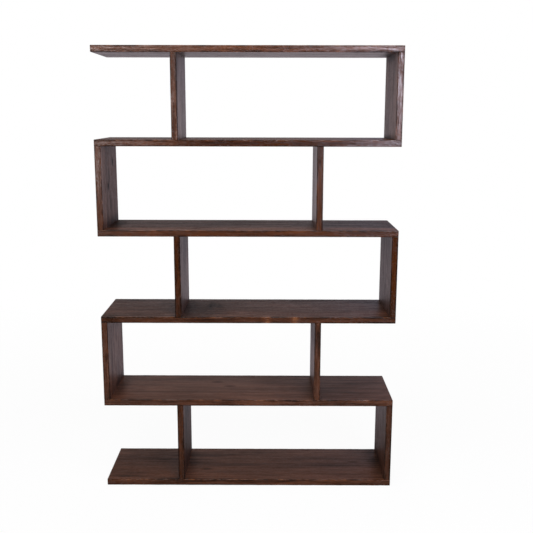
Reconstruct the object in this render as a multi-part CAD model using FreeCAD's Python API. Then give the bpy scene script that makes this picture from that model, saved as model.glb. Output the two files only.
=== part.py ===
import FreeCAD, Part
import math
import os

# Zigzag bookshelf in solid timber. Six full-length boards lie one above another. Each level between
# two boards has an end panel at one end and a divider nearer the other end, and the sides swap from
# level to level, so the front edges run down in a zigzag. Every panel and divider is screwed from
# below to the board it stands on and plugs into the board above on glued dowels.
# Millimetres. The origin is on the floor under the middle of the shelf, the front faces -Y and +Z is up.

Vector = FreeCAD.Vector
UP = Vector(0, 0, 1)

# Timber sizes
WIDTH = 1200.0  # length of every board, left to right
DEPTH = 310.0  # every piece of timber, front to back
BAY_H = 330.0  # clear height between two boards
BOARD_T = 26.0  # boards
PANEL_T = 26.0  # end panels
DIVIDER_T = 26.0  # dividers
FREE_BAY = 303.0  # clear width from a divider to the open end of its level
LEVELS = 5  # levels between the base board and the top board
EDGE_EASE = 1.5  # rounding sanded on the edges

# Fluted beech dowels
DOWEL_D = 10.0
DOWEL_L = 40.0
DOWEL_IN_BOARD = 15.0  # length seated in a board, the rest is in the panel
DOWEL_CHAMFER = 1.2
DOWEL_FLUTES = 8
FLUTE_R = 0.6  # radius of one glue groove, centred on the dowel's surface
DOWEL_INSET = 45.0  # outer dowels' axes from the front and back edges
DOWEL_FIT = 0.1  # radial room around a dowel, taken up by glue
DOWEL_END_GAP = 1.0  # room for glue beyond each end of a dowel

# Countersunk wood screws
SCREW_D = 5.0  # over the thread
SCREW_CORE_D = 3.2
SCREW_SHANK_D = 3.7
SCREW_HEAD_D = 9.6
SCREW_HEAD_RIM = 0.5  # straight rim below the 90 degree cone
SCREW_L = 60.0
SCREW_SHANK_L = 25.0  # head and plain shank together
SCREW_TIP_L = 4.0
SCREW_PITCH = 2.5
SCREW_SUNK = 0.8  # head's face above the board's lower face
SCREW_SPACING = 110.0  # between the two screws of one joint
SCREW_HOLE_D = 5.5  # clearance hole through a board
SCREW_FIT = 0.06  # radial room around the head and the thread
SCREW_END_GAP = 2.0  # room beyond the tip
DRIVE_L = 4.6  # cross recess in the head
DRIVE_W = 1.0
DRIVE_DEPTH = 1.8

# Nail-on floor glides
GLIDE_D = 24.0
GLIDE_H = 4.0
GLIDE_ROUND = 1.2
GLIDE_ROOF = 1.0  # nylon moulded over the nail's head
GLIDE_INSET_X = 45.0  # outer glides' axes from the board's ends
GLIDE_INSET_Y = 35.0  # glides' axes from the front and back edges
GLIDES_PER_ROW = 3
NAIL_D = 2.2
NAIL_HEAD_D = 8.0
NAIL_HEAD_T = 1.0
NAIL_L = 16.0  # below the head
NAIL_TIP_L = 3.0
NAIL_FIT = 0.05  # radial and axial room around the nail
NAIL_END_GAP = 1.0

OVERCUT = 1.0  # a cutter's length past the face it starts from


# Places

def board_top(number):
    """Height of a board's upper face. Board 1 is the base."""
    return GLIDE_H + BOARD_T + (number - 1) * (BAY_H + BOARD_T)


def board_bottom(number):
    return board_top(number) - BOARD_T


def end_side(level):
    """+1 where the level's end panel is on the right, -1 where it is on the left."""
    return 1 if level % 2 else -1


def side_name(sign):
    return "right" if sign > 0 else "left"


def end_panel_x(level):
    return end_side(level) * (WIDTH - PANEL_T) / 2


def divider_x(level):
    return -end_side(level) * (WIDTH / 2 - FREE_BAY - DIVIDER_T / 2)


def uprights(level):
    """The two uprights of a level: kind, middle in X, thickness and the side they stand on."""
    side = end_side(level)
    return [
        ("end_panel", end_panel_x(level), PANEL_T, side_name(side)),
        ("divider", divider_x(level), DIVIDER_T, side_name(-side)),
    ]


def outer_dowel_y():
    return DEPTH / 2 - DOWEL_INSET


def lower_dowel_ys():
    """Dowels at the foot of an upright, one each side of the screws."""
    return [-outer_dowel_y(), outer_dowel_y()]


def upper_dowel_ys():
    """Dowels at the head of an upright."""
    return [-outer_dowel_y(), 0.0, outer_dowel_y()]


def screw_ys():
    return [-SCREW_SPACING / 2, SCREW_SPACING / 2]


def glide_places():
    outer_x = WIDTH / 2 - GLIDE_INSET_X
    step = 2 * outer_x / (GLIDES_PER_ROW - 1)
    y = DEPTH / 2 - GLIDE_INSET_Y
    return [Vector(-outer_x + i * step, s * y, 0) for i in range(GLIDES_PER_ROW) for s in (-1, 1)]


# Shared shapes

def turned(points):
    """Solid of revolution about Z from (radius, height) points, closed from the last to the first."""
    outline = [Vector(r, 0, z) for r, z in points]
    outline.append(outline[0])
    face = Part.Face(Part.makePolygon(outline))
    return face.revolve(Vector(0, 0, 0), UP, 360)


def rod(diameter, x, y, z_low, z_high):
    return Part.makeCylinder(diameter / 2, z_high - z_low, Vector(x, y, z_low))


def copies(shape, places):
    made = []
    for place in places:
        piece = shape.copy()
        piece.translate(place)
        made.append(piece)
    return made


def cut_all(shape, cutters):
    return shape.cut(Part.makeCompound(cutters)) if cutters else shape


# Holes

def lower_dowel_holes(x, z_face):
    """Dowel holes for the foot of an upright, in the board and in the upright."""
    depth = DOWEL_IN_BOARD + DOWEL_END_GAP
    reach = DOWEL_L - DOWEL_IN_BOARD + DOWEL_END_GAP
    hole_d = DOWEL_D + 2 * DOWEL_FIT
    return [rod(hole_d, x, y, z_face - depth, z_face + reach) for y in lower_dowel_ys()]


def upper_dowel_holes(x, z_face):
    """Dowel holes for the head of an upright, in the upright and in the board above."""
    depth = DOWEL_IN_BOARD + DOWEL_END_GAP
    reach = DOWEL_L - DOWEL_IN_BOARD + DOWEL_END_GAP
    hole_d = DOWEL_D + 2 * DOWEL_FIT
    return [rod(hole_d, x, y, z_face - reach, z_face + depth) for y in upper_dowel_ys()]


def screw_board_hole():
    """Countersunk clearance hole, its mouth on the origin and its axis up."""
    mouth = SCREW_HEAD_D / 2 + SCREW_FIT
    hole = SCREW_HOLE_D / 2
    rim = SCREW_SUNK + SCREW_HEAD_RIM
    end = BOARD_T + OVERCUT
    countersink = [(0, -OVERCUT), (mouth, -OVERCUT), (mouth, rim), (hole, rim + mouth - hole)]
    return turned(countersink + [(hole, end), (0, end)])


def screw_pilot_holes(x, z_face):
    """Holes for the screws' threads in the foot of an upright."""
    reach = SCREW_SUNK + SCREW_L - BOARD_T + SCREW_END_GAP
    hole_d = SCREW_D + 2 * SCREW_FIT
    return [rod(hole_d, x, y, z_face - OVERCUT, z_face + reach) for y in screw_ys()]


def nail_holes():
    top = GLIDE_H - GLIDE_ROOF + NAIL_L + NAIL_END_GAP
    hole_d = NAIL_D + 2 * NAIL_FIT
    return [rod(hole_d, p.x, p.y, GLIDE_H - OVERCUT, top) for p in glide_places()]


# Timber

def board(number):
    """A board with its edges eased, and the holes for what stands on it and what carries it."""
    z_low, z_top = board_bottom(number), board_top(number)
    blank = Part.makeBox(WIDTH, DEPTH, BOARD_T, Vector(-WIDTH / 2, -DEPTH / 2, z_low))
    blank = blank.makeFillet(EDGE_EASE, blank.Edges)
    cutters = []
    if number <= LEVELS:
        for _, x, _, _ in uprights(number):
            cutters += lower_dowel_holes(x, z_top)
            cutters += copies(screw_board_hole(), [Vector(x, y, z_low) for y in screw_ys()])
    if number > 1:
        for _, x, _, _ in uprights(number - 1):
            cutters += upper_dowel_holes(x, z_low)
    if number == 1:
        cutters += nail_holes()
    return cut_all(blank, cutters)


def upright(level, x, thickness):
    """An end panel or a divider, its four tall edges eased and its ends cut square."""
    z_low, z_top = board_top(level), board_bottom(level + 1)
    blank = Part.makeBox(thickness, DEPTH, BAY_H, Vector(x - thickness / 2, -DEPTH / 2, z_low))
    tall = [e for e in blank.Edges if abs(e.tangentAt(e.FirstParameter).z) > 0.5]
    blank = blank.makeFillet(EDGE_EASE, tall)
    cutters = lower_dowel_holes(x, z_low) + screw_pilot_holes(x, z_low)
    return cut_all(blank, cutters + upper_dowel_holes(x, z_top))


# Dowels, screws and glides

def dowel():
    """A fluted dowel standing on the origin."""
    r = DOWEL_D / 2
    tip = r - DOWEL_CHAMFER
    lower_end = [(0, 0), (tip, 0), (r, DOWEL_CHAMFER)]
    upper_end = [(r, DOWEL_L - DOWEL_CHAMFER), (tip, DOWEL_L), (0, DOWEL_L)]
    body = turned(lower_end + upper_end)
    turns = [2 * math.pi * (i + 0.5) / DOWEL_FLUTES for i in range(DOWEL_FLUTES)]
    return cut_all(body, [rod(2 * FLUTE_R, r * math.cos(a), r * math.sin(a), 0, DOWEL_L) for a in turns])


def dowels(level, x):
    """All dowels of one upright: at its foot and at its head."""
    z_foot = board_top(level) - DOWEL_IN_BOARD
    z_head = board_bottom(level + 1) + DOWEL_IN_BOARD - DOWEL_L
    places = [Vector(x, y, z_foot) for y in lower_dowel_ys()]
    places += [Vector(x, y, z_head) for y in upper_dowel_ys()]
    return Part.makeCompound(copies(dowel(), places))


def screw():
    """A countersunk screw pointing up, the face of its head on the origin."""
    head, shank, core, crest = SCREW_HEAD_D / 2, SCREW_SHANK_D / 2, SCREW_CORE_D / 2, SCREW_D / 2
    outline = [(0, 0), (head, 0), (head, SCREW_HEAD_RIM), (shank, SCREW_HEAD_RIM + head - shank)]
    outline += [(shank, SCREW_SHANK_L), (core, SCREW_SHANK_L)]
    turns = int((SCREW_L - SCREW_TIP_L - SCREW_SHANK_L) / SCREW_PITCH)
    for i in range(turns):
        z = SCREW_SHANK_L + i * SCREW_PITCH
        outline += [(crest, z + SCREW_PITCH / 2), (core, z + SCREW_PITCH)]
    outline += [(core, SCREW_L - SCREW_TIP_L), (0, SCREW_L)]
    slot = Part.makeBox(DRIVE_L, DRIVE_W, DRIVE_DEPTH + OVERCUT, Vector(-DRIVE_L / 2, -DRIVE_W / 2, -OVERCUT))
    cross = slot.copy()
    cross.rotate(Vector(0, 0, 0), UP, 90)
    return turned(outline).cut(slot.fuse(cross))


def board_screws(number):
    """The screws that go up through one board into its end panel and its divider."""
    z = board_bottom(number) + SCREW_SUNK
    places = [Vector(x, y, z) for _, x, _, _ in uprights(number) for y in screw_ys()]
    return Part.makeCompound(copies(screw(), places))


def glide():
    """A nylon disc moulded over a nail's head, its rim rounded where it meets the floor."""
    r, nail, head = GLIDE_D / 2, NAIL_D / 2 + NAIL_FIT, NAIL_HEAD_D / 2 + NAIL_FIT
    roof = GLIDE_H - GLIDE_ROOF
    floor = roof - NAIL_HEAD_T - 2 * NAIL_FIT
    mouth = GLIDE_H + OVERCUT
    cavity = turned([(0, floor), (head, floor), (head, roof), (nail, roof), (nail, mouth), (0, mouth)])
    disc = Part.makeCylinder(r, GLIDE_H)
    rim = [e for e in disc.Edges if len(e.Vertexes) == 1 and e.CenterOfMass.z < GLIDE_H / 2]
    return disc.makeFillet(GLIDE_ROUND, rim).cut(cavity)


def nail():
    """A glide's nail pointing up, at its height above the floor."""
    head, shank = NAIL_HEAD_D / 2, NAIL_D / 2
    z = GLIDE_H - GLIDE_ROOF - NAIL_FIT
    low, tip = z - NAIL_HEAD_T, z + NAIL_L
    return turned([(0, low), (head, low), (head, z), (shank, z), (shank, tip - NAIL_TIP_L), (0, tip)])


# The assembly

def board_name(number):
    if number == 1:
        return "base_board"
    return "top_board" if number == LEVELS + 1 else f"shelf_board_{number}"


def pieces():
    """Every sub-part by its name."""
    made = {board_name(n): board(n) for n in range(1, LEVELS + 2)}
    for level in range(1, LEVELS + 1):
        for kind, x, thickness, side in uprights(level):
            made[f"{kind}_{level}_{side}"] = upright(level, x, thickness)
            made[f"{kind}_{level}_dowels"] = dowels(level, x)
        made[f"{board_name(level)}_screws"] = board_screws(level)
    made["floor_glides"] = Part.makeCompound(copies(glide(), glide_places()))
    made["floor_glide_nails"] = Part.makeCompound(copies(nail(), glide_places()))
    return made


def main():
    os.makedirs("parts", exist_ok=True)
    for name, shape in pieces().items():
        shape.exportStep(f"parts/{name}.step")


if __name__ == "__main__":
    main()
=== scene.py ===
"""A tall zigzag bookshelf of dark stained hardwood: six boards, five end panels and five dividers."""

import bpy
import mathutils
import numpy as np
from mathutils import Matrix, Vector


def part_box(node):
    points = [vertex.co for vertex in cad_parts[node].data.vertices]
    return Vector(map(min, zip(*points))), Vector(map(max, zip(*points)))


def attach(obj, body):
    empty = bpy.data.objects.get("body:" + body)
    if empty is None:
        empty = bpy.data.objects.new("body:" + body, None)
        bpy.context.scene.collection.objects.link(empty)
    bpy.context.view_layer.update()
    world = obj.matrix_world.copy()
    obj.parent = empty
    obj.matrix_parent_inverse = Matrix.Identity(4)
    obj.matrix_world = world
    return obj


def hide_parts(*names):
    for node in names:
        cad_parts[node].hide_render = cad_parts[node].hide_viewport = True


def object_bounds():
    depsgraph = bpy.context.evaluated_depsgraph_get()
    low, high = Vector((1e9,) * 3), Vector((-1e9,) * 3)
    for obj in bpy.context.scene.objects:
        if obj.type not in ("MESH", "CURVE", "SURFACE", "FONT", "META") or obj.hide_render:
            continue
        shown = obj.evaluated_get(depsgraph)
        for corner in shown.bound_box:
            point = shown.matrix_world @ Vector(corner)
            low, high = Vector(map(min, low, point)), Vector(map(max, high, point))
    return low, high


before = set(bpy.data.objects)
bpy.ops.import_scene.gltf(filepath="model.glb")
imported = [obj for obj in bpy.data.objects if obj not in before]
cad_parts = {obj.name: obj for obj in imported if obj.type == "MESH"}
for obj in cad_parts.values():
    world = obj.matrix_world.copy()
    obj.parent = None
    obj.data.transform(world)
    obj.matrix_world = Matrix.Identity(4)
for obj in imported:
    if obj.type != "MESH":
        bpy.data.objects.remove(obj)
cad_low, cad_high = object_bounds()

# The six boards: panels edge-glued from four staves of stained hardwood, planed by hand, satin lacquered,
# their edges eased and worn. Boards one to five are drilled for the screws driven up through them.
stave_count = 4
ease = 0.0015  # radius of the eased edges as they left the sander
round_share, round_swing = 1.1, 0.45  # the radius along an edge after years of use, in shares of that one
least_ease, most_ease = 0.0009, 0.0029  # where an edge is least and most worn
rub_mean, rub_swing = -0.35, 0.6  # wear along an edge, above 0 where rubbed and below 0 where grimy
# The uprights' edges are made darker, by grime and by painted shade, and the upper front edge of a board
# paler, by rubbing and by a painted highlight.
upright_grime_and_shade, front_rub_and_highlight = -0.2, 0.18  # added on the uprights, and on the upper front edge of a board
round_wave, rub_wave = 0.16, 0.18  # longest waves of the rounding and of the rubbing
knock_count = 5  # dents along each edge
knock_depth, knock_length = 0.0009, 0.007
wear_reach = 0.0035  # how far the wear of an edge spreads over its faces
plane_height, plane_wave = 0.00009, 0.22  # half height and longest wave that the plane left on a wide face
edge_height, edge_wave = 0.0001, 0.3  # the same on the front and back edges
groove_depth, groove_reach = 0.00005, 0.0008  # of the groove between two staves, to each side of its middle
fade_length = 0.01  # over which waves and grooves die out towards the ends
trunk = 6.0  # length of trunk from which the staves are cut
pith_near, pith_far, pith_aside = 0.012, 0.07, 0.05  # how far a stave lies from the pith, and to its side
tone_spread = 0.06  # between the staves of one piece
end_shade = 0.1  # how much darker the sawn ends are
screw_gap = 0.110  # between the two screws of an upright
mouth = 0.00486  # radius of a countersink at the surface
bore = 0.00275  # radius of a screw's clearance hole
rim = 0.0012  # straight wall of the countersink below the surface
patch, patch_cells = 0.009, 6  # half the square of surface that is given up to a hole, and its cells
margin = 0.0045  # width kept free of the flat mesh along each edge, for the rounding
first_row, last_row = 0.001, 0.0006  # width of the row beside the margin, length of the row before an end
face_step, edge_step = 0.006, 0.003  # spacing of the mesh on the wide faces and across the thin edges
bend_points = 5  # round each corner
slack = 0.00001  # within which two positions of the mesh are the same


def lines(breaks, step):
    """Positions that meet every break and part the gaps between them evenly, as near the step as can be."""
    breaks = np.unique(np.round(breaks, 7))
    counts = np.maximum(1, np.round(np.diff(breaks) / step).astype(int))
    parts = [np.linspace(a, b, n, endpoint=False) for a, b, n in zip(breaks[:-1], breaks[1:], counts)]
    return np.append(np.concatenate(parts), breaks[-1])


def ripple(places, longest, rows, chance):
    """Slow waves from -1 to 1, one row each: six sines of falling length and height, random in phase."""
    order = np.arange(1, 7)
    lengths = longest / order ** 1.15 * chance.uniform(0.8, 1.25, (rows, len(order)))
    phases = chance.uniform(0, 2 * np.pi, (rows, len(order)))
    waves = np.sin(2 * np.pi * places[None, :, None] / lengths[:, None, :] + phases[:, None, :])
    return np.clip((waves / order ** 0.6).sum(2) / 2.2, -1, 1)


def plank(node, seed, tones, marks=(), dull=0.265, bold=1.0, holes=(), end_ease=ease):
    """A board or upright drawn round its node's box. A rectangle with rounded corners is carried along the
    grain and drawn in at both ends. The rounding widens and narrows along each edge, every stave dips and
    rises on slow waves, and a fine groove parts it from the next. A hole is a chain of rings, from a square
    of the lower face to a square of the upper. Attributes carry the grain's place, each stave's tone, the
    sawn ends, the wear of the edges with the painted shade and highlight added to it, how dull and how
    boldly grained the wide faces are, and the marks, each a soft oval that fades out as a bell curve along
    and across the piece. Some marks are painted shade and painted sheen."""
    chance = np.random.default_rng(seed)
    low, high = (np.array(corner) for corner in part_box(node))
    size = high - low
    upright = size[2] > size[0]

    # The piece's own axes, as rows: along the grain, across the width and through the thickness.
    axes = np.array([[0, 0, 1], [0, 1, 0], [-1, 0, 0]] if upright else np.eye(3))
    long, wide, thick = np.abs(axes) @ size / 2

    # The positions of the mesh along the grain, across the width and through the thickness.
    seams = np.linspace(-wide, wide, stave_count + 1)[1:-1]
    cells = np.linspace(-patch, patch, patch_cells + 1)
    along = lines([-long, long, *(x + cell for x, _ in holes for cell in cells)], face_step)
    turn = np.linspace(0, np.pi / 2, bend_points)
    end = np.append(long - end_ease - last_row, long - end_ease + end_ease * np.sin(turn))
    drop = np.append(0, end_ease - end_ease * np.cos(turn))
    inner = np.abs(along) < end[0] - last_row
    along = np.concatenate([-end[::-1], along[inner], end])
    inset = np.concatenate([drop[::-1], np.zeros(inner.sum()), drop])[:, None]
    breaks = [-wide + margin, -wide + margin + first_row, wide - margin - first_row, wide - margin]
    breaks += [*seams, *(seams - groove_reach), *(seams + groove_reach)]
    breaks += [y + cell for _, y in holes for cell in cells]
    across = lines(breaks, face_step)
    through = lines([-thick + margin, thick - margin], edge_step)

    # The planed waves and grooves of both wide faces, and the rounding and rubbing of the four long edges,
    # with painted shade added on the edges of the uprights and a painted highlight on the upper front
    # edges.
    stave = np.clip(np.searchsorted(np.append(seams, wide), across), 0, stave_count - 1)
    wave = ripple(along, plane_wave, 2 * stave_count, chance) * plane_height
    groove = groove_depth * np.clip(1 - np.abs(across[:, None] - seams).min(1) / groove_reach, 0, 1)
    fade = np.clip((long - np.abs(along)) / fade_length, 0, 1)[:, None]
    dip = [fade * (plane_height + wave[face * stave_count + stave].T + groove) for face in (0, 1)]
    edge_dip = fade * (edge_height + edge_height * ripple(along, edge_wave, 2, chance).T)
    radius = ease * (round_share + round_swing * ripple(along, round_wave, 4, chance))
    knocks = chance.uniform(-long, long, (4, knock_count, 1))
    knock_depths = chance.uniform(0, knock_depth, (4, knock_count, 1))
    radius += (knock_depths * np.exp(-(((along - knocks) / knock_length) ** 2))).sum(1)
    radius = np.clip(radius, least_ease, most_ease)
    edge_wear_and_light = rub_mean + rub_swing * ripple(along, rub_wave, 4, chance)
    edge_wear_and_light += upright_grime_and_shade if upright else np.array([[0.0], [0.0], [front_rub_and_highlight], [0.0]])

    # The section runs round counter-clockwise: lower face, corner, back edge, corner, upper face, corner,
    # front edge, corner. Each edge's wear, with the painted shade and highlight in it, dies away over the
    # faces beside it.
    ones = np.ones((len(along), 1))
    sections = []
    for k, (side_w, side_t) in enumerate([(1, -1), (1, 1), (-1, 1), (-1, -1)]):
        bend = radius[k][:, None]
        angle = turn + (k - 1) * np.pi / 2
        corner_w = side_w * (wide - inset - bend) + bend * np.cos(angle)
        corner_t = side_t * (thick - inset - bend) + bend * np.sin(angle)
        corner = corner_w, corner_t, edge_wear_and_light[k][:, None] * np.ones(bend_points)
        if k % 2 == 0:
            flat_w = ones * (across if k == 0 else across[::-1])
            flat_t = side_t * (thick - inset - (dip[0] if k == 0 else dip[1][:, ::-1]))
            gap = wide - np.abs(flat_w)
        else:
            flat_t = ones * (through if k == 1 else through[::-1])
            flat_w = side_w * (wide - inset - edge_dip[:, [k // 2]]) * np.ones(len(through))
            gap = thick - np.abs(flat_t)
        near = edge_wear_and_light[[k, (k + 3) % 4]].mean(0)[:, None] * np.exp(-gap / wear_reach)
        sections += [(flat_w, flat_t, near), corner]
    grid_w, grid_t, grid_wear_and_light = (np.concatenate(part, 1) for part in zip(*sections))
    rows, columns = grid_w.shape
    local = np.stack([np.repeat(along[:, None], columns, 1), grid_w, grid_t], 2).reshape(-1, 3)
    wear_and_light = grid_wear_and_light.ravel()

    # The faces round the section, without the squares of the holes, and the chain of faces down each hole.
    index = np.arange(rows * columns).reshape(rows, columns)
    following = np.roll(index, -1, 1)
    quads = np.stack([index[:-1], following[:-1], following[1:], index[1:]], 2)
    kept = np.ones(quads.shape[:2], bool)
    top = len(across) + len(through) + 2 * bend_points
    top_end = top + len(across) - 1
    chains = []
    for x, y in holes:
        row = np.flatnonzero(np.abs(along - x) < patch + slack)
        column = np.flatnonzero(np.abs(across - y) < patch + slack)
        kept[row[0]:row[-1], column[0]:column[-1]] = False
        kept[row[0]:row[-1], top_end - column[-1]:top_end - column[0]] = False
        side = np.ones(patch_cells, int)
        ring_row = np.concatenate([row[:-1], side * row[-1], row[:0:-1], side * row[0]])
        ring_column = np.concatenate([side * column[0], column[:-1], side * column[-1], column[:0:-1]])
        angle = np.arctan2(across[ring_column] - y, along[ring_row] - x)
        reach = np.array([mouth, mouth, bore, bore])[:, None]
        height = np.array([-thick, rim - thick, rim + mouth - bore - thick, thick])[:, None]
        round_x = x + reach * np.cos(angle)
        round_y = y + reach * np.sin(angle)
        rings = np.stack(np.broadcast_arrays(round_x, round_y, height), 2)
        new = len(local) + np.arange(round_x.size).reshape(round_x.shape)
        local = np.concatenate([local, rings.reshape(-1, 3)])
        wear_and_light = np.append(wear_and_light, np.zeros(new.size))
        chain = np.vstack([index[ring_row, ring_column], new, index[ring_row, top_end - ring_column]])
        after = np.roll(chain, -1, 1)
        chains.append(np.stack([chain[:-1], chain[1:], after[1:], after[:-1]], 2).reshape(-1, 4))

    # The sawn ends: a row of faces between the two wide faces, and a fan at the front and at the back.
    ends = index[[0, -1]]
    below = ends[:, :len(across)]
    above = ends[:, top:top_end + 1][:, ::-1]
    caps = np.stack([below[:, :-1], below[:, 1:], above[:, 1:], above[:, :-1]], 2)
    sides = [ends[:, len(across) - 1:top + 1], np.hstack([ends[:, top_end:], below[:, :1]])]
    quads = np.concatenate([quads[kept], *chains, caps[0][:, ::-1], caps[1]])
    fans = [side[0][::-1] for side in sides] + [side[1] for side in sides]
    corners = np.concatenate([quads.ravel(), *fans])
    counts = np.array([4] * len(quads) + [len(fan) for fan in fans])
    starts = np.append(0, np.cumsum(counts)[:-1])
    sawn = np.arange(len(starts)) >= len(quads) - 2 * (len(across) - 1)

    # Each stave is cut from its own place beside the pith of its tree, and takes the stain in its own way.
    middle = np.add.reduceat(local[corners, 1], starts) / counts
    face_stave = np.clip(np.searchsorted(seams, middle), 0, stave_count - 1)
    up_trunk = chance.uniform(0, trunk, stave_count)
    aside = chance.uniform(-pith_aside, pith_aside, stave_count)
    apart = chance.uniform(pith_near, pith_far, stave_count) * chance.choice([-1, 1], stave_count)
    stave_middles = np.linspace(-wide, wide, 2 * stave_count + 1)[1::2]
    pith = np.stack([up_trunk, aside - stave_middles, apart], 1)
    grain = local[corners] + np.repeat(pith[face_stave], counts, 0)
    stave_tone = np.array(tones) + chance.uniform(-tone_spread, tone_spread, stave_count)
    tone = stave_tone[face_stave] - end_shade * sawn
    broad = np.abs(middle) < wide - margin
    mark = np.zeros(len(local))
    for place, offset, length, width, strength in marks:
        away = ((local[:, 0] - place) / length) ** 2 + ((local[:, 1] - offset) / width) ** 2
        mark += strength * np.exp(-away)

    mesh = bpy.data.meshes.new(node)
    mesh.vertices.add(len(local))
    mesh.vertices.foreach_set("co", ((low + high) / 2 + local @ axes).astype(np.float32).ravel())
    mesh.loops.add(len(corners))
    mesh.loops.foreach_set("vertex_index", corners.astype(np.int32))
    mesh.polygons.add(len(starts))
    mesh.polygons.foreach_set("loop_start", starts.astype(np.int32))
    mesh.polygons.foreach_set("use_smooth", ~sawn)
    mesh.update(calc_edges=True)
    grain_places = mesh.attributes.new("grain", "FLOAT_VECTOR", "CORNER")
    grain_places.data.foreach_set("vector", grain.astype(np.float32).ravel())
    for name, domain, values in [("tone", "FACE", tone), ("sawn", "FACE", sawn), ("wear_and_light", "POINT", wear_and_light),
                                 ("dull", "FACE", np.where(broad, dull, 0.0)),
                                 ("bold", "FACE", np.where(broad, bold, 1.0)), ("mark", "POINT", mark)]:
        mesh.attributes.new(name, "FLOAT", domain).data.foreach_set("value", values.astype(np.float32))
    piece = bpy.data.objects.new(node + "_timber", mesh)
    bpy.context.scene.collection.objects.link(piece)
    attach(piece, "root")
    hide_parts(node)
    return piece


def linear(code):
    """The linear colour of an sRGB hex code."""
    srgb = np.array([int(code[k:k + 2], 16) for k in (1, 3, 5)]) / 255
    return (*np.where(srgb <= 0.04045, srgb / 12.92, ((srgb + 0.055) / 1.055) ** 2.4), 1.0)


def blank(name):
    """A new material and the tree for its nodes."""
    material = bpy.data.materials.new(name)
    material.use_nodes = True
    return material, material.node_tree


def feed(tree, node, inputs):
    """Gives each of these inputs of a node its value, or links it when it is given a socket."""
    for name, value in inputs.items():
        if isinstance(value, bpy.types.NodeSocket):
            tree.links.new(value, node.inputs[name])
        else:
            node.inputs[name].default_value = value


def add(tree, kind, inputs=None, out=0, **settings):
    """Adds a node with its settings, values and links, and returns one of its outputs."""
    node = tree.nodes.new(kind)
    for name, value in settings.items():
        setattr(node, name, value)
    feed(tree, node, inputs or {})
    return node.outputs[out]


def pitch(*sizes):
    """The scale at which a noise has marks of these sizes, in millimetres, along the three axes."""
    return tuple(1000 / np.array(sizes))


def repeat(spacing):
    """The scale at which waves lie this far apart, in millimetres. At scale 1 it is pi / 10 metres."""
    return np.pi / 10 * 1000 / spacing


colours = {"data_type": "RGBA", "out": 2}  # a Mix node for colours: factor 0, colours 6 and 7, result 2

# Stained hardwood: a warm dark brown with darker streaks along the grain, growth rings that show as arcs on
# the sawn ends, knots, pores and flecks, under a satin lacquer that is worn thin and paler along the edges.
# The uprights' edges also carry painted shade and the boards' upper front edges a painted highlight, and
# some marks are painted shade in the inner corners and painted sheen on front edges.
# Pores, flecks and specks, under half a millimetre wide, are drawn 3 to 6 mm wide so that they show.
hardwood, tree = blank("stained_hardwood")
grain = add(tree, "ShaderNodeAttribute", out="Vector", attribute_name="grain")
tone, sawn, wear_and_light, dull, bold, mark = (add(tree, "ShaderNodeAttribute", out="Fac", attribute_name=name)
                                      for name in ("tone", "sawn", "wear_and_light", "dull", "bold", "mark"))
ring_run = 0.06  # how fast the rings change along the grain, next to across it
ring_space = add(tree, "ShaderNodeMapping", {"Vector": grain, "Scale": (ring_run, 1, 1)})
rings = add(tree, "ShaderNodeTexWave", {"Vector": ring_space, "Scale": repeat(12), "Distortion": 5,
                                        "Detail": 2, "Detail Scale": 0.5, "Detail Roughness": 0.5},
            out="Fac", wave_type="RINGS", rings_direction="X")
streak_space = add(tree, "ShaderNodeMapping", {"Vector": grain, "Scale": pitch(310, 9, 9)})
streaks = add(tree, "ShaderNodeTexNoise", {"Vector": streak_space, "Scale": 1, "Detail": 3,
                                           "Roughness": 0.6})
pore_space = add(tree, "ShaderNodeMapping", {"Vector": grain, "Scale": pitch(65, 3.3, 3.3)})
pore_noise = add(tree, "ShaderNodeTexNoise", {"Vector": pore_space, "Scale": 1, "Detail": 3,
                                              "Roughness": 0.65})
pores = add(tree, "ShaderNodeMapRange", {"Value": pore_noise, "From Min": 0.48, "From Max": 0.72})
fleck_space = add(tree, "ShaderNodeMapping", {"Vector": grain, "Scale": pitch(50, 5.7, 5.7)})
flecks = add(tree, "ShaderNodeTexNoise", {"Vector": fleck_space, "Scale": 1, "Detail": 3,
                                          "Roughness": 0.7})
speck_space = add(tree, "ShaderNodeMapping", {"Vector": grain, "Scale": pitch(9, 5, 5)})
specks = add(tree, "ShaderNodeTexNoise", {"Vector": speck_space, "Scale": 1, "Detail": 2})
blotch_space = add(tree, "ShaderNodeMapping", {"Vector": grain, "Scale": pitch(380, 55, 55)})
blotches = add(tree, "ShaderNodeTexNoise", {"Vector": blotch_space, "Scale": 1, "Detail": 4,
                                            "Roughness": 0.6})
knot_space = add(tree, "ShaderNodeMapping", {"Vector": grain, "Scale": pitch(300, 90, 90)})
knot_distance = add(tree, "ShaderNodeTexVoronoi", {"Vector": knot_space, "Scale": 1}, out="Distance")
knots = add(tree, "ShaderNodeMapRange", {"Value": knot_distance, "From Min": 0.16, "From Max": 0.03})

# How dark the stain is: rings and blotches, and on top of them streaks, pores and flecks as bold as the
# face asks, about the darkness that such fine grain has on average.
average_grain = 0.25
ring_dark = add(tree, "ShaderNodeMath", {0: rings, 1: 0.16}, operation="MULTIPLY")
streak_dark = add(tree, "ShaderNodeMapRange", {"Value": streaks, "From Min": 0.44, "From Max": 0.66,
                                               "To Max": 0.46})
pore_dark = add(tree, "ShaderNodeMath", {0: pores, 1: 0.40}, operation="MULTIPLY")
blotch_dark = add(tree, "ShaderNodeMapRange", {"Value": blotches, "From Min": 0.60, "From Max": 0.36,
                                               "To Max": 0.26})
fleck_dark = add(tree, "ShaderNodeMapRange", {"Value": flecks, "From Min": 0.36, "From Max": 0.66,
                                              "To Min": -0.16, "To Max": 0.24}, clamp=False)
patchy = add(tree, "ShaderNodeMapRange", {"Value": blotches, "From Min": 0.36, "From Max": 0.62,
                                          "To Min": 0.35, "To Max": 1.15})
fine_dark = add(tree, "ShaderNodeMath", {0: streak_dark, 1: pore_dark}, operation="ADD")
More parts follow.
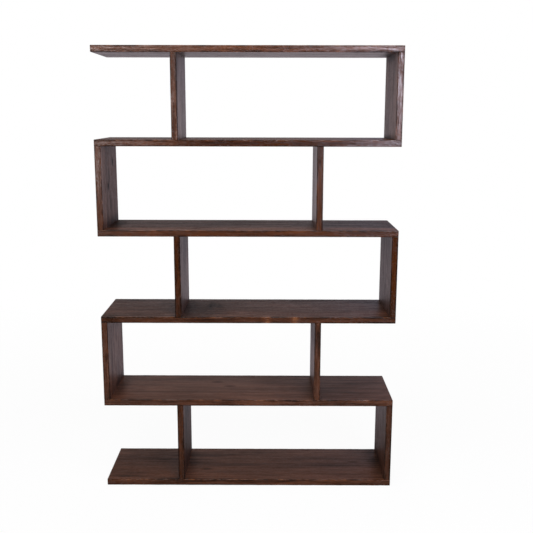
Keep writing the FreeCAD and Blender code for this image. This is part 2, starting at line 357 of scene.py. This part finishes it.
fine_dark = add(tree, "ShaderNodeMath", {0: fleck_dark, 1: patchy, 2: fine_dark}, operation="MULTIPLY_ADD")
fine_dark = add(tree, "ShaderNodeMix", {0: bold, 2: average_grain, 3: fine_dark}, clamp_factor=False)
dark = add(tree, "ShaderNodeMath", {0: ring_dark, 1: blotch_dark}, operation="ADD")
dark = add(tree, "ShaderNodeMath", {0: dark, 1: fine_dark}, operation="ADD", use_clamp=True)
dark = add(tree, "ShaderNodeMath", {0: dark, 1: knots}, operation="MAXIMUM")

# The marks, broken up along the grain: knots, stains and chips, painted shade in inner corners and painted
# sheen on front edges. The strongest are dead knots where dark, and chips where pale; the darkest painted
# shade goes as dark as a dead knot.
broken = add(tree, "ShaderNodeMapRange", {"Value": streaks, "From Min": 0.3, "From Max": 0.65,
                                          "To Min": 0.5, "To Max": 1.3})
stain_shade_and_sheen = add(tree, "ShaderNodeMath", {0: mark, 1: broken}, operation="MULTIPLY")
dark = add(tree, "ShaderNodeMath", {0: dark, 1: stain_shade_and_sheen}, operation="ADD")
chipped = add(tree, "ShaderNodeMapRange", {"Value": stain_shade_and_sheen, "From Min": -0.6, "From Max": -1.4})
dead_knots_and_deep_shade = add(tree, "ShaderNodeMapRange", {"Value": stain_shade_and_sheen, "From Min": 0.8, "From Max": 1.6})

# The sawn ends: arcs of the rings 5 mm apart, and vessels of 0.2 mm, drawn at 0.75 mm so that they show.
arcs = add(tree, "ShaderNodeTexWave", {"Vector": grain, "Scale": repeat(5), "Distortion": 3, "Detail": 3,
                                       "Detail Scale": 0.6},
           out="Fac", wave_type="RINGS", rings_direction="X", wave_profile="SAW")
vessels = add(tree, "ShaderNodeTexNoise", {"Vector": grain, "Scale": 1000 / 0.75, "Detail": 2})
end_dark = add(tree, "ShaderNodeMapRange", {"Value": vessels, "From Min": 0.45, "From Max": 0.7,
                                            "To Min": 0.22, "To Max": 0.5})
end_dark = add(tree, "ShaderNodeMath", {0: arcs, 1: 0.42, 2: end_dark}, operation="MULTIPLY_ADD")
dark = add(tree, "ShaderNodeMix", {0: sawn, 2: dark, 3: end_dark})

# Edges that are rubbed show paler wood, and edges that are seldom touched gather grime. Here too the edges
# of the uprights are darkened by painted shade, and the upper front edges of the boards paled by a painted
# highlight.
grime_and_shade = add(tree, "ShaderNodeMath", {0: wear_and_light, 1: -0.9}, operation="MULTIPLY", use_clamp=True)
dark = add(tree, "ShaderNodeMath", {0: dark, 1: grime_and_shade}, operation="ADD", use_clamp=True)
rub_and_highlight = add(tree, "ShaderNodeMath", {0: wear_and_light, 1: 0.9}, operation="MULTIPLY", use_clamp=True)
rub_and_highlight = add(tree, "ShaderNodeMath", {0: rub_and_highlight, 1: chipped}, operation="MAXIMUM")
warm = add(tree, "ShaderNodeMapRange", {"Value": blotches, "From Min": 0.35, "From Max": 0.65})
pale = add(tree, "ShaderNodeMix", {0: warm, 6: linear("#5A3523"), 7: linear("#6A3D25")}, **colours)
stain = add(tree, "ShaderNodeMix", {0: dark, 6: pale, 7: linear("#28160D")}, **colours)
level = add(tree, "ShaderNodeMath", {0: tone, 1: 0.96}, operation="ADD")
richness = add(tree, "ShaderNodeMath", {0: tone, 1: -0.3, 2: 1.0}, operation="MULTIPLY_ADD")
toned = add(tree, "ShaderNodeHueSaturation", {"Color": stain, "Saturation": richness, "Value": level})
colour = add(tree, "ShaderNodeMix", {0: rub_and_highlight, 6: toned, 7: linear("#80502F")}, **colours)
colour = add(tree, "ShaderNodeMix", {0: dead_knots_and_deep_shade, 6: colour, 7: linear("#150D0A")}, **colours)

# The lacquer: smoother and fuller on pale wood, sunk into the dark grain, gone from the dead knots and
# from the darkest painted shade.
satin = add(tree, "ShaderNodeMapRange", {"Value": dark, "From Min": 0.15, "From Max": 0.75,
                                         "To Min": 0.13, "To Max": 0.22})
gloss = add(tree, "ShaderNodeMath", {0: satin, 1: dull}, operation="ADD")
film = add(tree, "ShaderNodeMapRange", {"Value": dark, "From Min": 0.15, "From Max": 0.75,
                                        "To Min": 0.53, "To Max": 0.24})
fleck_film = add(tree, "ShaderNodeMapRange", {"Value": flecks, "From Min": 0.36, "From Max": 0.64,
                                              "To Min": 1.35, "To Max": 0.6}, clamp=False)
speck_film = add(tree, "ShaderNodeMapRange", {"Value": specks, "From Min": 0.40, "From Max": 0.62,
                                              "To Min": 1.28, "To Max": 0.5})
grit = add(tree, "ShaderNodeMath", {0: fleck_film, 1: speck_film}, operation="MULTIPLY")
grit = add(tree, "ShaderNodeMix", {0: bold, 2: 1.0, 3: grit}, clamp_factor=False)
film = add(tree, "ShaderNodeMath", {0: film, 1: grit}, operation="MULTIPLY")
film = add(tree, "ShaderNodeMix", {0: dead_knots_and_deep_shade, 2: film, 3: 0.05})
relief = add(tree, "ShaderNodeMath", {0: pores, 1: ring_dark}, operation="ADD")
relief = add(tree, "ShaderNodeMath", {0: flecks, 1: 0.6, 2: relief}, operation="MULTIPLY_ADD")
relief = add(tree, "ShaderNodeMath", {0: relief, 1: bold}, operation="MULTIPLY")
bump = add(tree, "ShaderNodeBump", {"Height": relief, "Strength": 0.4, "Distance": 0.0003}, invert=True)
feed(tree, tree.nodes["Principled BSDF"], {"Base Color": colour, "Roughness": gloss, "Normal": bump,
                                           "Specular IOR Level": film, "IOR": 1.5})

# What stands on each board, from the base up, and the look of each board. Tones run from the front stave to
# the back one, below 0 where darker. A mark is its place along and across the piece, its length, its width
# and its strength, below 0 where it is pale. Marks are knots, stains and chips, but also painted shade in
# the inner corners and painted sheen on some front edges.
uprights = [("end_panel_1_right", "divider_1_left"), ("end_panel_2_left", "divider_2_right"),
            ("end_panel_3_right", "divider_3_left"), ("end_panel_4_left", "divider_4_right"),
            ("end_panel_5_right", "divider_5_left")]
front = cad_low[1]  # the front edge, across a piece
boards = {
    "base_board": {
        "tones": (-0.20, -0.25, -0.15, 0.1), "bold": 0.55,
        # The two marks across the whole depth beside the uprights are painted shade in the inner corners.
        "marks": [(-0.52, -0.122, 0.075, 0.010, 0.5), (-0.40, 0.04, 0.06, 0.03, 0.25),
                  (-0.50, front, 0.10, 0.012, -0.4), (-0.30, front, 0.08, 0.03, 0.3),
                  (-0.08, front, 0.12, 0.03, 0.22), (0.555, 0.03, 0.025, 0.14, 0.35),
                  (-0.255, 0.03, 0.025, 0.14, 0.25), (-0.46, -0.09, 0.14, 0.05, 0.14)]},
    "shelf_board_2": {
        "tones": (-0.03, 0.16, 0.26, 0.3), "bold": 0.42,
        # The mark across the whole depth beside the end panel is painted shade in the inner corner.
        "marks": [(0.43, 0.0, 0.20, 0.20, 0.22), (0.14, 0.03, 0.12, 0.14, 0.2),
                  (-0.555, 0.03, 0.025, 0.14, 0.35), (-0.10, front, 0.08, 0.03, 0.25),
                  (0.32, front, 0.09, 0.03, -0.15)]},
    "shelf_board_3": {
        "tones": (-0.28, -0.42, -0.40, -0.3), "bold": 1.1,
        # The mark across the whole depth beside the divider is painted shade in the inner corner.
        "marks": [(-0.166, 0.036, 0.007, 0.045, 1.3), (-0.150, 0.055, 0.006, 0.025, 0.9),
                  (-0.126, 0.030, 0.008, 0.020, 0.8), (-0.448, -0.110, 0.050, 0.008, 0.4),
                  (-0.563, front, 0.040, 0.030, 0.5), (0.54, front, 0.06, 0.03, 0.25),
                  (-0.19, -0.03, 0.08, 0.12, 0.5), (-0.250, 0.02, 0.025, 0.14, 0.5),
                  (-0.20, -0.09, 0.10, 0.05, 0.2), (0.079, front, 0.014, 0.012, -1.0),
                  (0.190, front, 0.018, 0.012, -1.15)]},
    "shelf_board_4": {
        "tones": (-0.05, -0.55, -0.5, -0.35), "dull": 0.295, "bold": 1.25,
        # The first mark, across the whole depth beside the end panel, is painted shade in the inner corner.
        "marks": [(-0.555, 0.03, 0.030, 0.14, 0.7), (0.47, front, 0.15, 0.03, 0.25)]},
    "shelf_board_5": {
        "tones": (-0.35, -0.08, 0.0, 0.0), "dull": 0.245,
        # The pale marks at the ends of the front edge are painted sheen.
        "marks": [(0.52, front, 0.10, 0.03, -0.45), (0.12, front, 0.18, 0.03, 0.05),
                  (-0.30, front, 0.08, 0.03, -0.05), (-0.42, front, 0.06, 0.03, -0.2)]},
    "top_board": {
        "tones": (0.03, 0.0, 0.0, 0.0), "dull": 0.225,
        # The first mark, pale on the front edge, is painted sheen; the mark across the whole depth at the
        # right end is painted shade in the inner corner over the end panel.
        "marks": [(0.30, front, 0.10, 0.03, -0.2), (0.04, front, 0.12, 0.03, 0.15),
                  (0.56, 0.03, 0.025, 0.12, 0.6), (0.52, front, 0.10, 0.03, 0.1),
                  (-0.55, front, 0.10, 0.03, 0.2)]}}
for n, (board, look) in enumerate(boards.items()):
    standing = uprights[n] if n < len(uprights) else ()
    centres = [(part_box(upright)[0].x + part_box(upright)[1].x) / 2 for upright in standing]
    holes = [(x, y) for x in centres for y in (-screw_gap / 2, screw_gap / 2)]
    plank(board, 100 + n, holes=holes, **look).data.materials.append(hardwood)

# The five end panels: the same stained hardwood with its grain upright, on alternate sides from level to
# level. Each is dowelled and screwed to the board below it, and dowelled to the one that it carries.
joint_ease = 0.0003  # radius of the eased ends, kept sharp for tight joints
# A broad mark at the foot or the head of a panel, across most of its depth, is painted shade where the
# panel meets a board.
panels = {
    "end_panel_1_right": {"tones": -0.08, "marks": [(-0.155, 0.05, 0.025, 0.13, 0.5)]},
    "end_panel_2_left": {
        "tones": 0.03, "dull": 0.305,
        "marks": [(0.037, -0.042, 0.012, 0.007, 0.9), (0.0, -0.042, 0.040, 0.006, 0.4),
                  (-0.155, 0.05, 0.025, 0.13, 0.5), (0.0, front, 0.06, 0.03, -0.2)]},
    "end_panel_3_right": {"tones": -0.48, "dull": 0.295, "marks": [(0.13, 0.04, 0.08, 0.12, 0.4)]},
    "end_panel_4_left": {
        "tones": -0.08, "dull": 0.385,
        "marks": [(0.093, 0.064, 0.014, 0.009, 2.6), (-0.001, -0.030, 0.012, 0.011, 2.4),
                  (0.039, -0.014, 0.030, 0.008, 1.5), (-0.079, 0.003, 0.030, 0.010, 1.4),
                  # The last mark, pale on the front edge, is painted sheen.
                  (-0.155, 0.05, 0.025, 0.13, 0.8), (0.08, front, 0.12, 0.02, -0.25)]},
    "end_panel_5_right": {
        "tones": 0.0, "dull": 0.315,
        # The first mark, pale on the front edge, is painted sheen.
        "marks": [(0.0, front, 0.22, 0.030, -0.20), (0.165, 0.03, 0.022, 0.14, 0.9),
                  (-0.165, 0.03, 0.012, 0.14, 0.9)]}}
for n, (panel, look) in enumerate(panels.items()):
    plank(panel, 200 + n, end_ease=joint_ease, **look).data.materials.append(hardwood)

# The five dividers: the same stained hardwood, upright too, each set in from the end that its level's panel
# leaves open. They are dowelled and screwed between the boards as the panels are.
# A broad mark at the head of a divider, across most of its depth, is painted shade under the board above.
dividers = {
    "divider_1_left": {"tones": -0.40, "marks": [(0.13, 0.04, 0.07, 0.12, 0.6)]},
    "divider_2_right": {
        "tones": 0.0,
        "marks": [(0.10, front, 0.06, 0.05, 0.8), (-0.12, front, 0.05, 0.05, -0.3),
                  (0.13, 0.04, 0.08, 0.12, 0.75)]},
    "divider_3_left": {
        "tones": -0.42,
        "marks": [(0.12, front, 0.06, 0.05, 0.25), (0.14, 0.04, 0.09, 0.12, 0.75)]},
    "divider_4_right": {
        "tones": -0.08,
        "marks": [(0.0, 0.06, 0.20, 0.12, 0.4), (0.13, front, 0.05, 0.03, 0.25)]},
    "divider_5_left": {"tones": -0.12, "marks": [(0.12, front, 0.07, 0.03, 0.3)]}}
for n, (divider, look) in enumerate(dividers.items()):
    plank(divider, 300 + n, end_ease=joint_ease, **look).data.materials.append(hardwood)

# The dowels, glued into both ends of every upright and hidden in the joints: raw fluted beech,
# pale straw brown with short darker flecks, 0.7 mm wide and 6 mm long, along the grain.


def give(material, node):
    """Puts a material on a node of the frame in place of its plain one."""
    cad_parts[node].data.materials.clear()
    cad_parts[node].data.materials.append(material)


beech, tree = blank("raw_beech")
place = add(tree, "ShaderNodeTexCoord", out="Object")
beech_space = add(tree, "ShaderNodeMapping", {"Vector": place, "Scale": pitch(0.7, 0.7, 6)})
beech_flecks = add(tree, "ShaderNodeTexNoise", {"Vector": beech_space, "Scale": 1, "Detail": 3})
straw = add(tree, "ShaderNodeMix", {0: beech_flecks, 6: linear("#D2AC7E"), 7: linear("#B58A5C")}, **colours)
raw = add(tree, "ShaderNodeMapRange", {"Value": beech_flecks, "To Min": 0.55, "To Max": 0.75})
bump = add(tree, "ShaderNodeBump", {"Height": beech_flecks, "Strength": 0.4, "Distance": 0.0001})
feed(tree, tree.nodes["Principled BSDF"], {"Base Color": straw, "Roughness": raw, "Normal": bump})
for upright in [*panels, *dividers]:
    give(beech, upright.rsplit("_", 1)[0] + "_dowels")

# The screws, driven up through each board into the feet of its two uprights: zinc-plated steel,
# cool grey with cloudy plating, and turning marks of 0.1 mm, drawn at 0.4 mm so that they show.
zinc, tree = blank("zinc_plated_steel")
place = add(tree, "ShaderNodeTexCoord", out="Object")
clouds = add(tree, "ShaderNodeTexNoise", {"Vector": place, "Scale": 1000 / 2.4, "Detail": 4})
turnings = add(tree, "ShaderNodeTexNoise", {"Vector": place, "Scale": 1000 / 0.4, "Detail": 2})
plating = add(tree, "ShaderNodeMix", {0: clouds, 6: linear("#B7B5AE"), 7: linear("#8F9092")}, **colours)
cloudy = add(tree, "ShaderNodeMapRange", {"Value": clouds, "From Min": 0.3, "From Max": 0.7,
                                          "To Min": 0.28, "To Max": 0.45})
bump = add(tree, "ShaderNodeBump", {"Height": turnings, "Strength": 0.3, "Distance": 0.00005})
feed(tree, tree.nodes["Principled BSDF"], {"Base Color": plating, "Roughness": cloudy, "Normal": bump,
                                           "Metallic": 1})
for board in list(boards)[:len(uprights)]:
    give(zinc, board + "_screws")

# The six glides under the base board: dark brown moulded nylon discs, slightly waxy, with paler scuffs
# where they slide on the floor. Their moulded texture of 0.1 mm is drawn at 0.55 mm so that it shows.
nylon, tree = blank("moulded_nylon")
place = add(tree, "ShaderNodeTexCoord", out="Object")
scuff_space = add(tree, "ShaderNodeMapping", {"Vector": place, "Scale": pitch(11, 1.4, 1.4)})
scuffs = add(tree, "ShaderNodeTexNoise", {"Vector": scuff_space, "Scale": 1, "Detail": 3})
texture = add(tree, "ShaderNodeTexNoise", {"Vector": place, "Scale": 1000 / 0.55, "Detail": 2})
scuffed = add(tree, "ShaderNodeMapRange", {"Value": scuffs, "From Min": 0.5, "From Max": 0.75})
brown = add(tree, "ShaderNodeMix", {0: scuffed, 6: linear("#4A3B33"), 7: linear("#6B5A4F")}, **colours)
waxy = add(tree, "ShaderNodeMapRange", {"Value": scuffs, "To Min": 0.38, "To Max": 0.60})
bump = add(tree, "ShaderNodeBump", {"Height": texture, "Strength": 0.3, "Distance": 0.0001})
feed(tree, tree.nodes["Principled BSDF"], {"Base Color": brown, "Roughness": waxy, "Normal": bump,
                                           "IOR": 1.53})
give(nylon, "floor_glides")

# The six nails that hold the glides, driven up through them into the base board: bright drawn steel,
# with a little tarnish, and draw lines of 0.05 mm along the shank, drawn at 0.25 mm so that they show.
drawn, tree = blank("drawn_steel")
place = add(tree, "ShaderNodeTexCoord", out="Object")
draw_space = add(tree, "ShaderNodeMapping", {"Vector": place, "Scale": pitch(0.25, 0.25, 8)})
draws = add(tree, "ShaderNodeTexNoise", {"Vector": draw_space, "Scale": 1, "Detail": 2})
tarnish = add(tree, "ShaderNodeTexNoise", {"Vector": place, "Scale": 1000 / 3.3, "Detail": 3})
steel = add(tree, "ShaderNodeMix", {0: tarnish, 6: linear("#B4B2AE"), 7: linear("#8C8781")}, **colours)
polish = add(tree, "ShaderNodeMapRange", {"Value": draws, "To Min": 0.22, "To Max": 0.42})
bump = add(tree, "ShaderNodeBump", {"Height": draws, "Strength": 0.3, "Distance": 0.00005})
feed(tree, tree.nodes["Principled BSDF"], {"Base Color": steel, "Roughness": polish, "Normal": bump,
                                           "Metallic": 1})
give(drawn, "floor_glide_nails")

# The floor: a round white sheet that keeps a faint soft shadow and fades into the white behind it.
# It throws plain grey light back on the shelf, and gloss sees it pale behind the shelf, like the backdrop.
radii = np.array([0.02, 1.0, 2.0, 3.0, 4.5, 6.0, 9.0])
spokes = np.linspace(0, 2 * np.pi, 96, endpoint=False)
reach, angle = np.meshgrid(radii, spokes, indexing="ij")
rounds = np.stack([reach * np.cos(angle), reach * np.sin(angle), np.zeros_like(reach)], 2)
index = np.arange(reach.size).reshape(reach.shape)
after = np.roll(index, -1, 1)
quads = np.stack([index[:-1], index[1:], after[1:], after[:-1]], 2).reshape(-1, 4)
sheet = bpy.data.meshes.new("floor")
sheet.from_pydata(rounds.reshape(-1, 3), [], quads.tolist() + [index[0].tolist()])
floor = bpy.data.objects.new("floor", sheet)
bpy.context.scene.collection.objects.link(floor)


def mirrored(tree):
    """1 for what is seen in gloss or through glass, and 0 for the rest."""
    glossy = add(tree, "ShaderNodeLightPath", out="Is Glossy Ray")
    through = add(tree, "ShaderNodeLightPath", out="Is Transmission Ray")
    return add(tree, "ShaderNodeMath", {0: glossy, 1: through}, operation="MAXIMUM")


paper, tree = blank("white_paper")
tree.nodes.remove(tree.nodes["Principled BSDF"])
place = add(tree, "ShaderNodeTexCoord", out="Object")
back = add(tree, "ShaderNodeSeparateXYZ", {0: place}, out="Y")
rear = add(tree, "ShaderNodeMapRange", {"Value": back, "From Min": -0.3, "From Max": 0.3})
grey = add(tree, "ShaderNodeMix", {0: rear, 6: linear("#ACACAC"), 7: linear("#979797")}, **colours)
ground = add(tree, "ShaderNodeBsdfDiffuse", {"Color": grey})
gleam = add(tree, "ShaderNodeEmission", {"Color": linear("#CDC3CC"), "Strength": 1.0})
gleaming = add(tree, "ShaderNodeMapRange", {"Value": back, "From Min": 0.1, "From Max": 1.2,
                                            "To Max": mirrored(tree)})
ground = add(tree, "ShaderNodeMixShader", {0: gleaming, 1: ground, 2: gleam})
away = add(tree, "ShaderNodeVectorMath", {0: place}, out="Value", operation="LENGTH")
fade = add(tree, "ShaderNodeMapRange", {"Value": away, "From Min": 1.2, "From Max": 3.5, "To Min": 0.95})
matt = add(tree, "ShaderNodeBsdfDiffuse", {"Color": linear("#F4F4F4")})
glow = add(tree, "ShaderNodeEmission", {"Color": linear("#FFFFFF"), "Strength": 1.0})
shown = add(tree, "ShaderNodeMixShader", {0: fade, 1: matt, 2: glow})
seen = add(tree, "ShaderNodeLightPath", out="Is Camera Ray")
surface = add(tree, "ShaderNodeMixShader", {0: seen, 1: ground, 2: shown})
feed(tree, tree.nodes["Material Output"], {"Surface": surface})
sheet.materials.append(paper)

# The light: a dim even room, two soft boxes and a strip in front, a fill from behind and a box overhead.
# Gloss sees the overhead box, a pale backdrop behind the shelf and, in front, a dark wall with two far
# windows, which give the front edges their sheen.
world = bpy.data.worlds.new("studio")
bpy.context.scene.world = world
world.use_nodes = True
tree = world.node_tree
direction = add(tree, "ShaderNodeTexCoord", out="Generated")
right, back, upward = (add(tree, "ShaderNodeSeparateXYZ", {0: direction}, out=axis) for axis in "XYZ")

# The backdrop: near white at its foot, then grey, paler higher up, darker overhead, cooler to the right.
cooler = (1.0, 1.18, 1.5, 1.0)  # how much stronger red, green and blue are on the right
foot = add(tree, "ShaderNodeMapRange", {"Value": upward, "From Min": 0.13, "From Max": -0.06})
raised = add(tree, "ShaderNodeMapRange", {"Value": upward, "From Min": 0.14, "From Max": 0.24})
zenith = add(tree, "ShaderNodeMapRange", {"Value": upward, "From Min": 0.30, "From Max": 0.44})
cool = add(tree, "ShaderNodeMapRange", {"Value": right, "From Min": 0.05, "From Max": 0.14})
sky = add(tree, "ShaderNodeMix", {0: raised, 6: linear("#807B82"), 7: linear("#CDC7CC")}, **colours)
sky = add(tree, "ShaderNodeMix", {0: zenith, 6: sky, 7: linear("#7C746C")}, **colours)
sky = add(tree, "ShaderNodeMix", {0: cool, 6: sky, 7: cooler}, blend_type="MULTIPLY", **colours)
backdrop = add(tree, "ShaderNodeMix", {0: foot, 6: sky, 7: linear("#FFF5FF")}, **colours)

# The wall and its windows, measured on a plane one metre in front. A window is its side, the soft borders
# of its near and far edges, its tint and its strength.
windows = [(1, (0.10, 0.15), (0.40, 0.30), "#E1E8FF", 10.0),
           (-1, (0.12, 0.19), (0.45, 0.35), "#F2F2F6", 4.6)]
lean = 0.5  # how far the near edge of a window moves outwards for each metre down
soft = {"interpolation_type": "SMOOTHSTEP"}
forward = add(tree, "ShaderNodeMath", {0: back, 1: -1.0}, operation="MULTIPLY")
across = add(tree, "ShaderNodeMath", {0: right, 1: forward}, operation="DIVIDE")
up = add(tree, "ShaderNodeMath", {0: upward, 1: forward}, operation="DIVIDE")
head = add(tree, "ShaderNodeMapRange", {"Value": up, "From Min": 0.20, "From Max": 0.12}, **soft)
sill = add(tree, "ShaderNodeMapRange", {"Value": up, "From Min": -0.14, "From Max": -0.07}, **soft)
opening = add(tree, "ShaderNodeMath", {0: head, 1: sill}, operation="MULTIPLY")
wall = linear("#403C3A")
for side, near, far, tint, strength in windows:
    outward = add(tree, "ShaderNodeMath", {0: across, 1: side}, operation="MULTIPLY")
    slanted = add(tree, "ShaderNodeMath", {0: up, 1: lean, 2: outward}, operation="MULTIPLY_ADD")
    near_edge = add(tree, "ShaderNodeMapRange", {"Value": slanted, "From Min": near[0],
                                                 "From Max": near[1]}, **soft)
    far_edge = add(tree, "ShaderNodeMapRange", {"Value": outward, "From Min": far[0],
                                                "From Max": far[1]}, **soft)
    pane = add(tree, "ShaderNodeMath", {0: near_edge, 1: far_edge}, operation="MULTIPLY")
    pane = add(tree, "ShaderNodeMath", {0: pane, 1: opening}, operation="MULTIPLY")
    wall = add(tree, "ShaderNodeMix", {0: pane, 6: wall, 7: np.array(linear(tint)) * strength}, **colours)
behind = add(tree, "ShaderNodeMapRange", {"Value": back, "From Min": -0.25, "From Max": 0.15})
walls = add(tree, "ShaderNodeMix", {0: behind, 6: wall, 7: backdrop}, **colours)
even = tree.nodes["Background"]
feed(tree, even, {"Color": linear("#625F63")})
shown = add(tree, "ShaderNodeBackground", {"Color": walls, "Strength": 1.0})
room = add(tree, "ShaderNodeMixShader", {0: mirrored(tree), 1: even.outputs[0], 2: shown})
white = add(tree, "ShaderNodeBackground", {"Color": linear("#FFFFFF"), "Strength": 1.0})
seen = add(tree, "ShaderNodeLightPath", out="Is Camera Ray")
surface = add(tree, "ShaderNodeMixShader", {0: seen, 1: room, 2: white})
feed(tree, tree.nodes["World Output"], {"Surface": surface})


def aim(item, ahead, side):
    """Turns a lamp or a camera to look along ahead, with side to its right, both of length 1."""
    turned = np.stack([side, np.cross(side, ahead), -ahead], 1)
    item.rotation_mode = "QUATERNION"
    item.rotation_quaternion = mathutils.Matrix(turned.tolist()).to_quaternion()


# The lamps: name, place, the point each one faces, its width and height, its power in watts and its tint.
soft_boxes = [("right_box", (1.50, -3.20, 1.75), (0.30, 0.0, 1.2), (1.5, 1.35), 60, "#F0F2FF"),
              ("left_box", (-1.65, -3.25, 1.68), (-0.30, 0.0, 1.2), (1.2, 1.4), 30, "#FFFBF8"),
              ("high_strip", (0.62, -3.30, 2.40), (0.30, 0.0, 1.4), (1.3, 0.5), 13, "#FFF6F2"),
              ("back_box", (0.0, 3.2, 2.6), (0.0, 0.0, 0.9), (2.6, 2.0), 45, "#FFFFFF"),
              ("top_box", (0.0, -1.4, 4.0), (0.0, 0.0, 0.9), (2.6, 2.0), 88, "#FFFFFF")]
for name, stand, target, extent, power, tint in soft_boxes:
    box = bpy.data.lights.new(name, "AREA")
    box.shape = "RECTANGLE"
    box.size, box.size_y = extent
    box.energy = power
    box.color = linear(tint)[:3]
    lamp = bpy.data.objects.new(name, box)
    bpy.context.scene.collection.objects.link(lamp)
    lamp.location = stand
    lamp.visible_glossy = name == "top_box"
    ahead = np.subtract(target, stand) / np.linalg.norm(np.subtract(target, stand))
    level_side = np.cross(ahead, (0, 0, 1))
    aim(lamp, ahead, level_side / np.linalg.norm(level_side))

# The camera: a normal lens at standing eye height, three metres in front of the shelf and looking a little
# down. Its place, turn and lens follow from the straight edges of the shelf in the photograph.
lens = bpy.data.cameras.new("camera")
lens.sensor_width = 36
lens.lens = 52.437
camera = bpy.data.objects.new("camera", lens)
bpy.context.scene.collection.objects.link(camera)
camera.location = (0.08331, -3.21228, 1.55741)
tip, swing, roll = np.radians([11.199, -0.174, 0.107])
ahead = np.array([np.sin(swing) * np.cos(tip), np.cos(swing) * np.cos(tip), -np.sin(tip)])
level_side = np.array([np.cos(swing), -np.sin(swing), 0.0])
aim(camera, ahead, level_side * np.cos(roll) + np.cross(level_side, ahead) * np.sin(roll))
bpy.context.scene.camera = camera
bpy.context.scene.view_settings.view_transform = "Standard"
